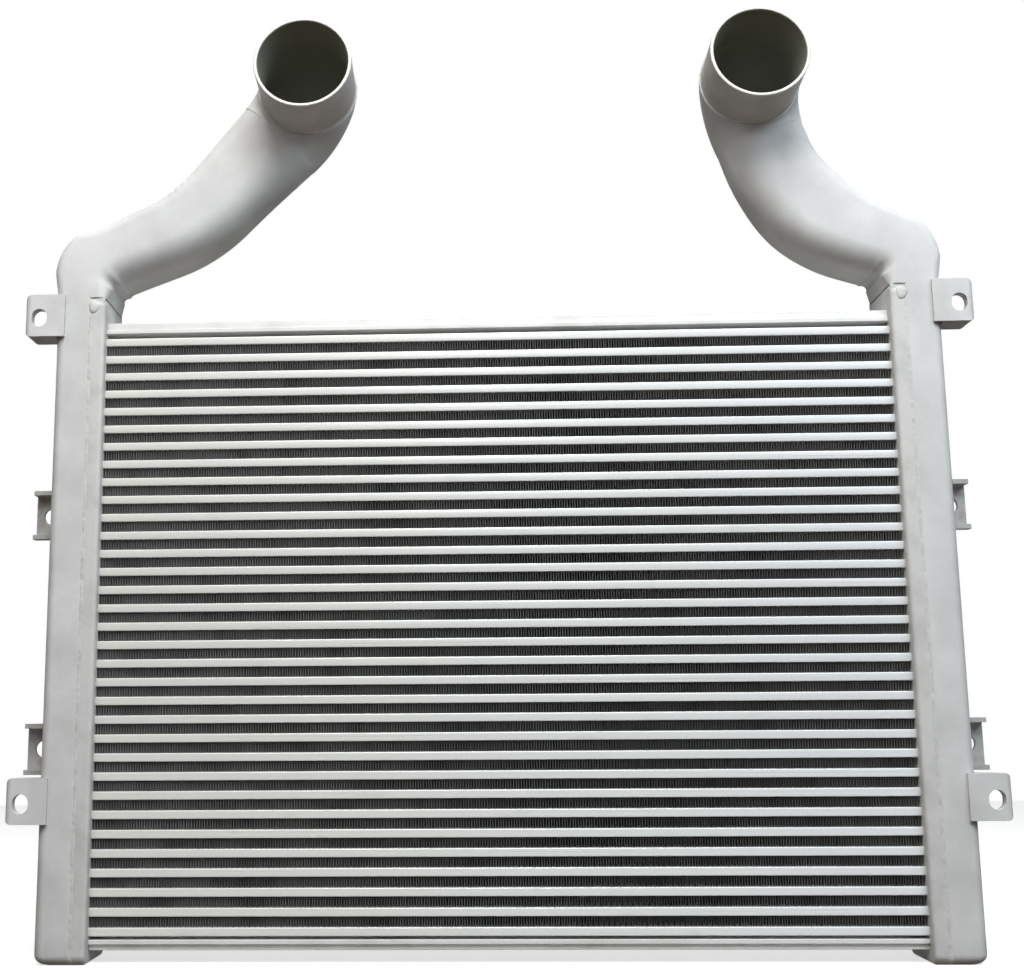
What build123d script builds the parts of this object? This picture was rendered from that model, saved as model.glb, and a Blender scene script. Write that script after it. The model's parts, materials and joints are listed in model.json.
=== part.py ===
# Charge air cooler of a heavy truck: a tube and fin core between two end tanks, each cast in
# one piece with the duct that rises from it, bends inwards and turns forward to a hose spigot.
# Frame: x across, y through the core with the front at -y, z up. The origin lies under the
# middle of the whole, level with the feet of the two tanks.
from build123d import *
from math import cos, radians, sin
import os

os.makedirs("parts", exist_ok=True)

# ---------------------------------------------------------------- driving dimensions, mm
# Core
tube_count = 33
tube_pitch = 18.6
tube_height = 8.4
tube_wall = 1.2
core_depth = 56.0
core_width = 812.0  # clear width between the two headers
tube_stand = 4.0  # how far a tube stands out of the header into the tank
braze_gap = 0.05  # around a tube in its header slot
fin_sheet = 0.6
fin_folds = 5  # folds drawn in one strip of air fin, coarser than the real strip
fin_setback = 2.0  # the strips lie this far behind the tube faces
turbulator_sheet = 0.5
turbulator_folds = 2

# Side plates over and under the core
top_gap = 5.0  # from the outermost tube to the plate
bottom_gap = 3.0
plate_lip = 4.5
plate_ridge_setback = 3.0
top_ridge = 8.0
bottom_ridge = 5.7

# Headers
header_sheet = 3.0
header_rim = 12.0  # from the tube plate's outer face to the tank joint
header_lip = 4.0  # rounding between the tube plate and its rim
header_over = 42.2  # from the top tube to the top of the header
header_under = 26.2  # from the bottom tube to its foot, level with the tank's
tank_depth = 78.0
end_corner = 10.0  # corners of header and tank, seen from the side

# Tanks
tank_wall = 4.0
tank_width = 36.5  # from the joint to the outer wall
tank_edge = 10.0
groove = 2.2  # chamfers that make the weld groove between header and tank
bead_crown = 0.5  # the bead's top under the surface of header and tank
bead_end_radius = 5.0
bead_end_height = 1.6
bead_end_slope = 50  # degrees from upright

# Ducts
neck_rise = 38.0  # from the header's top to the neck's corner
neck_radius = 26.0
knee_inset = 116.0  # from the tank's centre line to the knee, across
knee_rise = 86.0  # from the header's top to the knee
knee_radius = 150.0
elbow_inside = 3.0  # radius round the inside of the elbow
elbow_steps = 4
corner_flat = 0.5  # least straight stretch in half the side of a rounded section
spigot_radius = 50.8
spigot_wall = 3.5
spigot_reach = 97.0  # along its axis, from the duct's centre line to the mouth
spigot_pitch = 4.0  # degrees that the spigots look up
spigot_rise = 230.0  # mouth centre above the header's top
left_spigot_inset = 237.75  # from the tank's centre line inwards to the spigot
right_spigot_inset = 157.75
spigot_bead = 2.0  # legs of the triangular weld behind the spigot's foot
bead_run_out = 2.0  # how much further the weld's groove opens, clear of the duct's skin
# Sections along each duct before its elbow: share of the way, height, depth, corner radius.
left_sections = [
    (0.15, 68.0, 78.0, 10.0),
    (0.22, 63.0, 78.0, 12.0),
    (0.44, 69.0, 78.0, 18.0),
    (0.62, 76.0, 78.0, 24.0),
    (0.80, 84.0, 78.0, 30.0),
    (1.00, 97.0, 80.0, 38.0),
]
right_sections = [
    (0.17, 69.0, 78.0, 10.0),
    (0.26, 69.0, 78.0, 12.0),
    (0.46, 80.0, 78.0, 18.0),
    (0.62, 89.0, 78.0, 24.0),
    (0.80, 88.0, 78.0, 30.0),
    (1.00, 92.0, 80.0, 38.0),
]

# Mounting ears on the front of the tanks
ear_out = 32.0  # from the tank's side to the outer edge of every lug
ear_hole_inset = 15.5  # from that edge to the hole's centre
upper_ear_drop = 22.4  # from the header's top down to the upper hole
ear_spacing = 496.0  # from the upper hole down to the lower one
ear_height = 45.0
ear_hole_drop = 2.5  # the hole lies below the ear's middle
ear_proud = 4.0  # the ear's face in front of the tank's
ear_lap = 10.0  # the ear's lap over the tank's front
ear_web = 10.0
ear_flange = 5.0
ear_depth = 33.0
ear_round = 7.0
ear_rear_round = 20.0
ear_slot_width = 16.0
ear_slot_length = 19.0

# Channel brackets at the rear of the tanks
bracket_z = 122.0  # hole centres above and below the core's mid height
bracket_height = 52.0
bracket_depth = 18.0
bracket_sheet = 5.0
bracket_round = 8.0
bracket_setback = 7.0  # from the tank's rear face
bracket_hole_out = 15.5  # from the tank's side to the hole's centre
bracket_hole_radius = 8.5

# ---------------------------------------------------------------- derived places
pitch = radians(spigot_pitch)
mouth_reach = spigot_reach * cos(pitch)  # forward of the core's mid plane
front_reach = mouth_reach + spigot_radius * sin(pitch)
rear_reach = tank_depth / 2 + bead_end_height
core_y = (front_reach - rear_reach) / 2
core_top = (tube_count - 1) / 2 * tube_pitch + tube_height / 2
header_above = core_top + header_over  # from the core's mid height
header_below = core_top + header_under
core_z = header_below
fin_gap = tube_pitch - tube_height
tube_half = core_width / 2 + header_sheet + tube_stand
header_length = header_above + header_below
header_mid_z = core_z + (header_above - header_below) / 2
header_face = core_width / 2
joint_x = header_face + header_sheet + header_rim
tank_side = joint_x + tank_width
tank_front = core_y - tank_depth / 2
tank_rear = core_y + tank_depth / 2
neck_z = core_z + header_above
neck_mid = (header_face + tank_side) / 2
neck_width = tank_side - header_face
left_spigot_x = neck_mid - left_spigot_inset
right_spigot_x = neck_mid - right_spigot_inset
ledge_z = neck_z + tank_wall
spigot_bore = spigot_radius - spigot_wall
seat_radius = spigot_radius + spigot_bead
spigot_axis = Vector(0, -cos(pitch), sin(pitch))
ear_reach = tank_side + ear_out
ear_hole_x = ear_reach - ear_hole_inset
upper_ear_z = header_above - upper_ear_drop  # from the core's mid height
lower_ear_z = upper_ear_z - ear_spacing
bracket_hole_x = tank_side + bracket_hole_out


def save(part, name):
    part.label = name
    export_step(part, f"parts/{name}.step")


def zigzag(length, height, sheet, folds):
    """Outline of a folded strip: the lower line there and the upper line back."""
    step = length / (2 * folds)
    swing = height - sheet
    low = [(i * step - length / 2, (i % 2) * swing - height / 2) for i in range(2 * folds + 1)]
    high = [(x, y + sheet) for x, y in reversed(low)]
    return low + high


# ---------------------------------------------------------------- core tubes
tube_levels = [core_z + (i - (tube_count - 1) / 2) * tube_pitch for i in range(tube_count)]

for row, level in enumerate(reversed(tube_levels), start=1):
    tube_end = Plane((-tube_half, core_y, level), x_dir=(0, 1, 0), z_dir=(1, 0, 0))
    with BuildPart() as tube:
        with BuildSketch(tube_end):
            Rectangle(core_depth, tube_height)
            Rectangle(core_depth - 2 * tube_wall, tube_height - 2 * tube_wall, mode=Mode.SUBTRACT)
        extrude(amount=2 * tube_half)
    save(tube.part, f"tube_{row:02d}")

# Folded turbulator strip inside every tube, all in one node.
strip_ends = Plane((-tube_half, core_y, core_z), x_dir=(0, 1, 0), z_dir=(1, 0, 0))
turbulator_outline = zigzag(
    core_depth - 2 * tube_wall,
    tube_height - 2 * tube_wall,
    turbulator_sheet,
    turbulator_folds,
)
with BuildPart() as turbulators:
    with BuildSketch(strip_ends):
        with GridLocations(0, tube_pitch, 1, tube_count):
            Polygon(turbulator_outline, align=None)
    extrude(amount=2 * tube_half)
save(turbulators.part, "turbulators")

# Folded air fins, one strip in each space between two tubes, all in one node.
fin_depth = core_depth - 2 * fin_setback
fin_fronts = Plane((0, core_y - fin_depth / 2, core_z), x_dir=(1, 0, 0), z_dir=(0, -1, 0))
with BuildPart() as air_fins:
    with BuildSketch(fin_fronts):
        with GridLocations(0, tube_pitch, 1, tube_count - 1):
            Polygon(zigzag(core_width, fin_gap, fin_sheet, fin_folds), align=None)
    extrude(amount=-fin_depth)
save(air_fins.part, "air_fins")

# ---------------------------------------------------------------- headers
# A tray: the tube plate with a rounded lip and a rim that meets the tank edge to edge.
def header(side, name):
    plate_face = Plane(
        (side * header_face, core_y, header_mid_z), x_dir=(0, side, 0), z_dir=(side, 0, 0)
    )
    tray_depth = header_sheet + header_rim
    with BuildPart() as tray:
        with BuildSketch(plate_face):
            RectangleRounded(tank_depth, header_length, end_corner)
        extrude(amount=tray_depth)
        core_face = faces().sort_by(Axis.X)[0 if side > 0 else -1]
        fillet(core_face.edges(), header_lip)
        with BuildSketch(plate_face.offset(header_sheet)):
            RectangleRounded(
                tank_depth - 2 * header_sheet,
                header_length - 2 * header_sheet,
                end_corner - header_sheet,
            )
        extrude(amount=header_rim, mode=Mode.SUBTRACT)
        rim = faces().sort_by(Axis.X)[-1 if side > 0 else 0]
        chamfer(rim.outer_wire().edges(), groove)
        with BuildSketch(plate_face.offset(header_sheet)):
            with Locations((0, core_z - header_mid_z)):
                with GridLocations(0, tube_pitch, 1, tube_count):
                    Rectangle(core_depth + 2 * braze_gap, tube_height + 2 * braze_gap)
        extrude(amount=-header_sheet, mode=Mode.SUBTRACT)
    save(tray.part, name)


header(-1, "header_left")
header(1, "header_right")


# ---------------------------------------------------------------- tanks, each with its duct
class Elbow:
    """The bend from the duct's line into the spigot's axis, round a pivot inside the corner."""

    def __init__(self, side, spigot_x, sections):
        self.mouth = Vector(side * spigot_x, core_y - mouth_reach, neck_z + spigot_rise)
        self.knee = Vector(side * (neck_mid - knee_inset), core_y, neck_z + knee_rise)
        crown = self.mouth - spigot_axis * spigot_reach
        self.along = (crown - self.knee).normalized()
        self.bend = radians(self.along.get_angle(spigot_axis))
        from_axis = (elbow_inside + seat_radius) / sin(self.bend)
        from_duct = (elbow_inside + sections[-1][2] / 2) / sin(self.bend)
        self.pivot = crown - self.along * from_axis + spigot_axis * from_duct
        self.start = crown + self.along * (self.pivot - crown).dot(self.along)
        self.seat = crown + spigot_axis * (self.pivot - crown).dot(spigot_axis)
        self.across = (spigot_axis - self.along * self.along.dot(spigot_axis)).normalized()

    def plane(self, share, reach):
        """Section plane a share of the way round, its centre at reach from the pivot."""
        turn = self.bend * share
        outwards = self.along * sin(turn) - self.across * cos(turn)
        heading = self.along * cos(turn) + self.across * sin(turn)
        return Plane(self.pivot + outwards * reach, x_dir=outwards, z_dir=heading)


def duct_sections(side, spigot_x, sections, wall):
    """Planes with depth, height and corner radius, from the neck to the spigot's seat.

    A wall of 0 gives the outside, and the tank's wall gives the air path inside it.
    """
    elbow = Elbow(side, spigot_x, sections)
    with BuildLine() as route:
        FilletPolyline(
            (side * neck_mid, core_y, neck_z + wall),
            (side * neck_mid, core_y, neck_z + neck_rise),
            elbow.knee,
            elbow.start,
            radius=[neck_radius, knee_radius],
        )
    path = route.wires()[0]
    stations = []
    for share, height, depth, corner in [(0, neck_width, tank_depth, tank_edge)] + sections:
        plane = Plane(path @ share, x_dir=(0, 1, 0), z_dir=path % share)
        stations.append((plane, depth - 2 * wall, height - 2 * wall, corner - wall))
    start_height, start_depth = sections[-1][1], sections[-1][2]
    seat_wall = seat_radius - spigot_bore if wall else 0
    for step in range(1, elbow_steps + 1):
        share = step / elbow_steps
        depth = start_depth + (2 * seat_radius - start_depth) * share
        height = start_height + (2 * seat_radius - start_height) * share
        skin = wall + (seat_wall - wall) * share
        plane = elbow.plane(share, elbow_inside + depth / 2)
        stations.append((plane, depth - 2 * skin, height - 2 * skin, depth / 2))
    return stations


def duct_faces(side, spigot_x, sections, wall):
    """The same sections as faces, in pairs, for straight-sided lofts from each to the next."""
    outlines = []
    for plane, depth, height, corner in duct_sections(side, spigot_x, sections, wall):
        with BuildSketch(plane) as outline:
            RectangleRounded(depth, height, min(corner, min(depth, height) / 2 - corner_flat))
        outlines.append(outline.sketch.faces()[0])
    return zip(outlines, outlines[1:])


def spigot_bead_profile(elbow, leg):
    """Triangle behind the spigot's foot, to be turned about its axis: groove or bead."""
    half_plane = Plane(elbow.seat, x_dir=(1, 0, 0), z_dir=Vector(1, 0, 0).cross(spigot_axis))
    with BuildSketch(half_plane) as profile:
        Polygon(
            (spigot_radius, 0),
            (spigot_radius + leg, 0),
            (spigot_radius + leg, -leg),
            align=None,
        )
    return profile.sketch


def pan_outline(joint, wall, top):
    """Side view of the pan over the header, square at the top where the duct takes over."""
    foot = core_z - header_below + wall
    with BuildSketch(joint) as outline:
        with Locations((0, (top + foot) / 2 - core_z)):
            Rectangle(tank_depth - 2 * wall, top - foot)
        fillet(outline.vertices().group_by(Axis.Y)[0], end_corner - wall)
    return outline.sketch


def tank(side, spigot_x, sections, name):
    elbow = Elbow(side, spigot_x, sections)
    joint = Plane((side * joint_x, core_y, core_z), x_dir=(0, side, 0), z_dir=(side, 0, 0))
    towards_core = 0 if side > 0 else -1
    with BuildPart() as casting:
        extrude(pan_outline(joint, 0, neck_z), amount=tank_width)
        outer_rim = faces().sort_by(Axis.X)[-1 - towards_core].edges()
        fillet(outer_rim.sort_by(Axis.Z)[:-1], tank_edge)
        joint_rim = faces().sort_by(Axis.X)[towards_core].edges()
        chamfer(joint_rim.sort_by(Axis.Z)[:-1], groove)
        for ends in duct_faces(side, spigot_x, sections, 0):
            loft(ends, ruled=True)
        # The air path: the pan's hollow, then the duct's up to the spigot.
        extrude(
            pan_outline(joint, tank_wall, ledge_z),
            amount=tank_width - tank_wall,
            mode=Mode.SUBTRACT,
        )
        for ends in duct_faces(side, spigot_x, sections, tank_wall):
            loft(ends, ruled=True, mode=Mode.SUBTRACT)
        revolve(
            spigot_bead_profile(elbow, spigot_bead + bead_run_out),
            axis=Axis(elbow.seat, spigot_axis),
            mode=Mode.SUBTRACT,
        )
    save(casting.part, name)


tank(-1, left_spigot_x, left_sections, "tank_left")
tank(1, right_spigot_x, right_sections, "tank_right")


# ---------------------------------------------------------------- spigots and their welds
def spigot(elbow, name):
    with BuildPart() as tube:
        with BuildSketch(Plane(elbow.seat, x_dir=(1, 0, 0), z_dir=spigot_axis)):
            Circle(spigot_radius)
            Circle(spigot_bore, mode=Mode.SUBTRACT)
        extrude(amount=(elbow.mouth - elbow.seat).length)
    save(tube.part, name)


def spigot_weld(elbow, name):
    with BuildPart() as ring:
        revolve(spigot_bead_profile(elbow, spigot_bead), axis=Axis(elbow.seat, spigot_axis))
    save(ring.part, name)


left_elbow = Elbow(-1, left_spigot_x, left_sections)
right_elbow = Elbow(1, right_spigot_x, right_sections)
for elbow, hand in ((left_elbow, "left"), (right_elbow, "right")):
    spigot(elbow, f"spigot_{hand}")
    spigot_weld(elbow, f"spigot_weld_{hand}")


# ---------------------------------------------------------------- tank welds
# A bead along the groove between header and tank: down the front, under the foot, up the rear.
def tank_weld(side, name):
    joint = Plane((side * joint_x, core_y, core_z), x_dir=(0, side, 0), z_dir=(side, 0, 0))
    half_depth = tank_depth / 2 - groove
    foot = -header_below + groove
    top = header_above - end_corner
    root_corner = end_corner - groove
    with BuildPart() as bead:
        with BuildLine(joint) as route:
            FilletPolyline(
                (-half_depth, top), (-half_depth, foot), (half_depth, foot), (half_depth, top),
                radius=root_corner,
            )
        start = Plane(route.line @ 0, x_dir=(0, -side, 0), z_dir=(0, 0, -1))
        rise = groove - bead_crown
        with BuildSketch(start):
            Polygon((0, 0), (rise, rise), (rise, -rise), align=None)
        sweep(path=route.line)
        for face in (tank_front, tank_rear):
            out = -1 if face == tank_front else 1
            end = Plane(
                (side * joint_x, face, core_z + top), x_dir=(1, 0, 0), z_dir=(0, out, 0)
            )
            with BuildSketch(end):
                Circle(bead_end_radius)
            extrude(amount=bead_end_height, taper=bead_end_slope)
    save(bead.part, name)


tank_weld(-1, "tank_weld_left")
tank_weld(1, "tank_weld_right")


# ---------------------------------------------------------------- side plates
# A flat bar across the top and the bottom of the core, with a lower ridge set back on it.
def side_plate(face_z, ridge, up, name):
    bar_face = Plane((0, core_y, face_z), z_dir=(0, 0, up))
    with BuildPart() as plate:
        with BuildSketch(bar_face):
            Rectangle(core_width, core_depth)
        extrude(amount=plate_lip)
        with BuildSketch(bar_face.offset(plate_lip)):
            Rectangle(core_width, core_depth - 2 * plate_ridge_setback)
        extrude(amount=ridge)
    save(plate.part, name)


side_plate(core_z + core_top + top_gap, top_ridge, 1, "top_plate")
side_plate(core_z - core_top - bottom_gap, bottom_ridge, -1, "bottom_plate")


# ---------------------------------------------------------------- mounting ears
# A cast lug with an upright slot: a web in front and two flanges that run back along the tank.
def ear(side, hole_z, name):
    middle = core_z + hole_z + ear_hole_drop
    face_y = tank_front - ear_proud
    inner = side * (tank_side - ear_lap)
    outer = side * ear_reach
    rear = face_y + ear_depth
    below = Plane((0, 0, middle - ear_height / 2), x_dir=(1, 0, 0), z_dir=(0, 0, 1))
    with BuildPart() as lug:
        with BuildSketch(below) as plan:
            with BuildLine():
                Polyline(
                    (inner, face_y),
                    (outer, face_y),
                    (outer, rear),
                    (side * tank_side, rear),
                    (side * tank_side, tank_front),
                    (inner, tank_front),
                    close=True,
                )
            make_face()
            outer_corners = plan.vertices().group_by(Axis.X)[-1 if side > 0 else 0]
            fillet(outer_corners.sort_by(Axis.Y)[0], ear_round)
            fillet(outer_corners.sort_by(Axis.Y)[-1], ear_rear_round)
        extrude(amount=ear_height)
        with BuildSketch(Plane((0, 0, middle - ear_height / 2 + ear_flange))):
            with Locations((side * (tank_side + ear_reach) / 2, face_y + ear_web + ear_depth / 2)):
                Rectangle(2 * (ear_reach - tank_side), ear_depth)
        extrude(amount=ear_height - 2 * ear_flange, mode=Mode.SUBTRACT)
        with BuildSketch(Plane((0, face_y, core_z + hole_z), x_dir=(1, 0, 0), z_dir=(0, -1, 0))):
            with Locations((side * ear_hole_x, 0)):
                SlotOverall(ear_slot_length, ear_slot_width, rotation=90)
        extrude(amount=-ear_web, mode=Mode.SUBTRACT)
        # Seen from the front the outer corners are rounded too.
        outline_width = ear_out + ear_lap + ear_round
        with BuildSketch(Plane((0, face_y, middle), x_dir=(1, 0, 0), z_dir=(0, -1, 0))):
            with Locations((side * (ear_reach - outline_width / 2), 0)):
                RectangleRounded(outline_width, ear_height, ear_round)
        extrude(amount=-ear_depth, mode=Mode.INTERSECT)
    save(lug.part, name)


# ---------------------------------------------------------------- rear brackets
# A short channel with its web at the rear and its flanges towards the front.
def bracket(side, hole_z, name):
    web_y = tank_rear - bracket_setback
    against_tank = Plane(
        (side * tank_side, web_y, core_z + hole_z), x_dir=(0, side, 0), z_dir=(side, 0, 0)
    )
    with BuildPart() as channel:
        with BuildSketch(against_tank) as section:
            with Locations((-side * bracket_depth / 2, 0)):
                Rectangle(bracket_depth, bracket_height)
            rear_corners = section.vertices().group_by(Axis.X)[-1 if side > 0 else 0]
            fillet(rear_corners, bracket_round)
            with Locations((-side * (bracket_depth / 2 + bracket_sheet), 0)):
                Rectangle(bracket_depth, bracket_height - 2 * bracket_sheet, mode=Mode.SUBTRACT)
        extrude(amount=ear_reach - tank_side)
        with BuildSketch(Plane((0, web_y, core_z + hole_z), x_dir=(1, 0, 0), z_dir=(0, -1, 0))):
            with Locations((side * bracket_hole_x, 0)):
                Circle(bracket_hole_radius)
        extrude(amount=bracket_sheet, mode=Mode.SUBTRACT)
    save(channel.part, name)


for side, hand in ((-1, "left"), (1, "right")):
    ear(side, upper_ear_z, f"upper_ear_{hand}")
    ear(side, lower_ear_z, f"lower_ear_{hand}")
    bracket(side, bracket_z, f"upper_bracket_{hand}")
    bracket(side, -bracket_z, f"lower_bracket_{hand}")
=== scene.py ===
import json
import bmesh
import bpy
import numpy as np
from math import radians
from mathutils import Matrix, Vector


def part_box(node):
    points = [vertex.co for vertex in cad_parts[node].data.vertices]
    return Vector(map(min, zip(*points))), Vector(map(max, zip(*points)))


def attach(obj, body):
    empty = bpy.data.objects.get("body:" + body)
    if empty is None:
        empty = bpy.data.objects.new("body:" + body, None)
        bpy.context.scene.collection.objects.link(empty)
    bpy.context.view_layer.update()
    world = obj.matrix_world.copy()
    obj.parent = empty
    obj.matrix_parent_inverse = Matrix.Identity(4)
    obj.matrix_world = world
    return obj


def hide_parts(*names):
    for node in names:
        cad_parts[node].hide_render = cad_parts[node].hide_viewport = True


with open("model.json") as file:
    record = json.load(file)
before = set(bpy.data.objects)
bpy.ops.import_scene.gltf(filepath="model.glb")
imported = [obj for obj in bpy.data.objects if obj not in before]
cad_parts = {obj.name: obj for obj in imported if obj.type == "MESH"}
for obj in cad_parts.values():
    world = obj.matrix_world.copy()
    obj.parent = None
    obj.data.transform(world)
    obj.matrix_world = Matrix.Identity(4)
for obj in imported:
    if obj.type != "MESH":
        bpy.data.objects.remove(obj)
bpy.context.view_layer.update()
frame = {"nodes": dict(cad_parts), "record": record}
mounts = {mount["name"]: mount for mount in frame["record"]["mounts"]}
mm = 0.001


# ---- camera

cameraPlace = {
    "where": (-0.0361, -1.4070, 0.2232),
    "turn": (99.880, 0.374, 2.189),  # degrees about x, y and z
    "focalPixels": 1400.0,
    "centrePixel": 410.0,  # across; the picture was cut from a wider one
    "imageWidth": 1024.0,
    "sensor": 36.0,
}


def addCamera(place):
    lens = bpy.data.cameras.new("camera")
    lens.sensor_fit = "HORIZONTAL"
    lens.sensor_width = place["sensor"]
    lens.lens = place["focalPixels"] / place["imageWidth"] * place["sensor"]
    lens.shift_x = 0.5 - place["centrePixel"] / place["imageWidth"]
    lens.clip_end = 50
    camera = bpy.data.objects.new("camera", lens)
    camera.location = place["where"]
    camera.rotation_euler = [radians(angle) for angle in place["turn"]]
    bpy.context.collection.objects.link(camera)
    bpy.context.scene.camera = camera


addCamera(cameraPlace)
print("camera placed")


# ---- shader wiring

class Wire:
    # a node socket that takes part in sums: wire * 2, 1 - wire
    def __init__(self, tree, socket):
        self.tree = tree
        self.socket = socket

    def maths(self, operation, first, second=0.0):
        node = self.tree.nodes.new("ShaderNodeMath")
        node.operation = operation
        for slot, value in zip(node.inputs, (first, second)):
            if isinstance(value, Wire):
                self.tree.links.new(value.socket, slot)
            else:
                slot.default_value = value
        return Wire(self.tree, node.outputs[0])

    def __add__(self, other):
        return self.maths("ADD", self, other)

    def __radd__(self, other):
        return self.maths("ADD", other, self)

    def __sub__(self, other):
        return self.maths("SUBTRACT", self, other)

    def __rsub__(self, other):
        return self.maths("SUBTRACT", other, self)

    def __mul__(self, other):
        return self.maths("MULTIPLY", self, other)

    def __rmul__(self, other):
        return self.maths("MULTIPLY", other, self)

    def atLeast(self, other):
        return self.maths("MAXIMUM", self, other)


def seenDirectly(tree):
    # 1 for what the camera sees, also by reflection or through glass, and 0 for light on the part
    path = tree.nodes.new("ShaderNodeLightPath")
    camera, glossy, through = (
        Wire(tree, path.outputs[name]) for name in ("Is Camera Ray", "Is Glossy Ray", "Is Transmission Ray")
    )
    return camera.atLeast(glossy).atLeast(through)


class Finish:
    # one material: nodes are added by name, wired, and fed to the surface
    def __init__(self, name):
        self.material = bpy.data.materials.new(name)
        self.material.use_nodes = True
        self.tree = self.material.node_tree
        self.tree.nodes.clear()
        self.skin = self.tree.nodes.new("ShaderNodeBsdfPrincipled")
        output = self.tree.nodes.new("ShaderNodeOutputMaterial")
        self.tree.links.new(self.skin.outputs["BSDF"], output.inputs["Surface"])

    def node(self, kind, settings=None, values=None, out=0):
        node = self.tree.nodes.new(kind)
        for key, value in (settings or {}).items():
            setattr(node, key, value)
        for key, value in (values or {}).items():
            self.feed(node.inputs[key], value)
        return Wire(self.tree, node.outputs[out])

    def feed(self, slot, value):
        if isinstance(value, Wire):
            self.tree.links.new(value.socket, slot)
        elif isinstance(value, (tuple, list)) and len(value) == 3 and slot.type == "RGBA":
            slot.default_value = (*value, 1)
        else:
            slot.default_value = value

    def surface(self, **values):
        for key, value in values.items():
            self.feed(self.skin.inputs[key], value)

    def place(self, stretch):
        where = self.node("ShaderNodeTexCoord", out="Object")
        return self.node("ShaderNodeMapping", values={"Vector": where, "Scale": stretch})

    def noise(self, scale, detail, roughness, stretch=(1, 1, 1)):
        return self.node(
            "ShaderNodeTexNoise",
            values={"Vector": self.place(stretch), "Scale": scale, "Detail": detail, "Roughness": roughness},
        )

    def patches(self, scale, detail, roughness, low, high, stretch=(1, 1, 1)):
        return self.span(self.noise(scale, detail, roughness, stretch), low, high)

    def span(self, value, low, high, newLow=0.0, newHigh=1.0):
        return self.node(
            "ShaderNodeMapRange",
            {"clamp": True},
            {"Value": value, "From Min": low, "From Max": high, "To Min": newLow, "To Max": newHigh},
        )

    def mix(self, share, first, second):
        node = self.tree.nodes.new("ShaderNodeMix")
        node.data_type = "RGBA"
        self.feed(node.inputs["Factor"], share)
        self.feed(node.inputs[6], first)
        self.feed(node.inputs[7], second)
        return Wire(self.tree, node.outputs[2])

    def bump(self, height, distance):
        return self.node("ShaderNodeBump", values={"Height": height, "Distance": distance, "Strength": 1.0})

    def attribute(self, name):
        return self.node("ShaderNodeAttribute", {"attribute_name": name}, out="Fac")


# ---- finishes
# A pattern such as clouds is a noise's scale, detail and roughness, then the two values between
# which it turns from none to full. Grain and lines have no such values.

castLook = {
    "pale": (0.66, 0.665, 0.665),
    "dull": (0.55, 0.555, 0.55),
    "stain": (0.40, 0.36, 0.31),
    # inside: painted shade, the hollow's inner faces darker for the shade inside it, and partly their duller
    # surface
    "inside": (0.26, 0.265, 0.225),
    "roughness": (0.42, 0.60),
    "metal": 0.02,
    "gloss": 0.02,
    "clouds": (16, 4, 0.6, 0.35, 0.68),
    "specks": (420, 2, 0.6, 0.60, 0.75),
    "stains": (9, 5, 0.65, 0.60, 0.78),
    "speckShare": 0.25,
    "stainShare": 0.30,
    "fineGrain": (900, 3, 0.65),
    "coarseGrain": (140, 2, 0.5),
    "coarseShare": 0.8,
    "bump": 0.12 * mm,
}


def castFinish(look):
    finish = Finish("castAluminium")
    clouds = finish.patches(*look["clouds"])
    specks = finish.patches(*look["specks"])
    stains = finish.patches(*look["stains"])
    inside = finish.attribute("inside")
    colour = finish.mix(clouds, look["pale"], look["dull"])
    colour = finish.mix(specks * look["speckShare"], colour, look["dull"])
    colour = finish.mix(stains * look["stainShare"], colour, look["stain"])
    # the hollow's inner faces take the inside colour: painted shade
    colour = finish.mix(inside, colour, look["inside"])
    rough = finish.span(clouds + specks * 0.5, 0.0, 1.5, *look["roughness"])
    grain = finish.noise(*look["fineGrain"]) + finish.noise(*look["coarseGrain"]) * look["coarseShare"]
    finish.surface(
        **{
            "Base Color": colour,
            "Roughness": rough,
            "Metallic": (1 - inside) * look["metal"],
            "Specular IOR Level": look["gloss"],
            "Normal": finish.bump(grain, look["bump"]),
        }
    )
    return finish.material


tubeLook = {
    # left and right: painted light, the tubes lighter and bluer towards the right, as the light falls there
    "left": (0.62, 0.62, 0.585),
    "right": (0.66, 0.68, 0.69),
    "scuff": (0.46, 0.46, 0.44),
    "roughness": (0.26, 0.40),
    "metal": 0.20,
    "halfWidth": 0.41,  # from one end's colour to the other's, metres either way
    "lines": (30, 3, 0.55),
    "lineStretch": (0.08, 1, 9),
    "scuffs": (60, 4, 0.6, 0.60, 0.74),
    "scuffStretch": (0.3, 1, 1),
    "scuffShare": 0.35,
    "bump": 0.08 * mm,
}


def tubeFinish(look):
    finish = Finish("tubeSatin")
    where = finish.node("ShaderNodeTexCoord", out="Object")
    across = finish.node("ShaderNodeSeparateXYZ", values={"Vector": where}, out=0)
    side = finish.span(across, -look["halfWidth"], look["halfWidth"])
    lines = finish.noise(*look["lines"], stretch=look["lineStretch"])
    scuffs = finish.patches(*look["scuffs"], stretch=look["scuffStretch"])
    # painted light: the colour turns from left to right, lighter and bluer on the right
    colour = finish.mix(side, look["left"], look["right"])
    colour = finish.mix(scuffs * look["scuffShare"], colour, look["scuff"])
    rough = finish.span(lines + scuffs * 0.3, 0.3, 0.9, *look["roughness"])
    finish.surface(
        **{
            "Base Color": colour,
            "Roughness": rough,
            "Metallic": look["metal"],
            "Normal": finish.bump(lines, look["bump"]),
        }
    )
    return finish.material


sheetLines = (40, 3, 0.55)
rolled, plain = (0.1, 1, 4), (1, 1, 1)


def sheetFinish(name, look):
    # sheet and plate: a fine grain, drawn out along x where it is rolled, and a few dull patches
    finish = Finish(name)
    lines = finish.noise(*sheetLines, stretch=look["stretch"])
    patches = finish.patches(look["patchScale"], 4, 0.6, 0.45, 0.70)
    colour = finish.mix(patches, look["pale"], look["dull"])
    rough = finish.span(lines + patches * 0.4, 0.3, 1.0, *look["roughness"])
    finish.surface(
        **{
            "Base Color": colour,
            "Roughness": rough,
            "Metallic": look["metal"],
            "Specular IOR Level": look["gloss"],
            "Normal": finish.bump(lines, look["bump"]),
        }
    )
    return finish.material


# pale and dull: painted shade, the fins made dark for the shade deep in the core between the tubes
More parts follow.
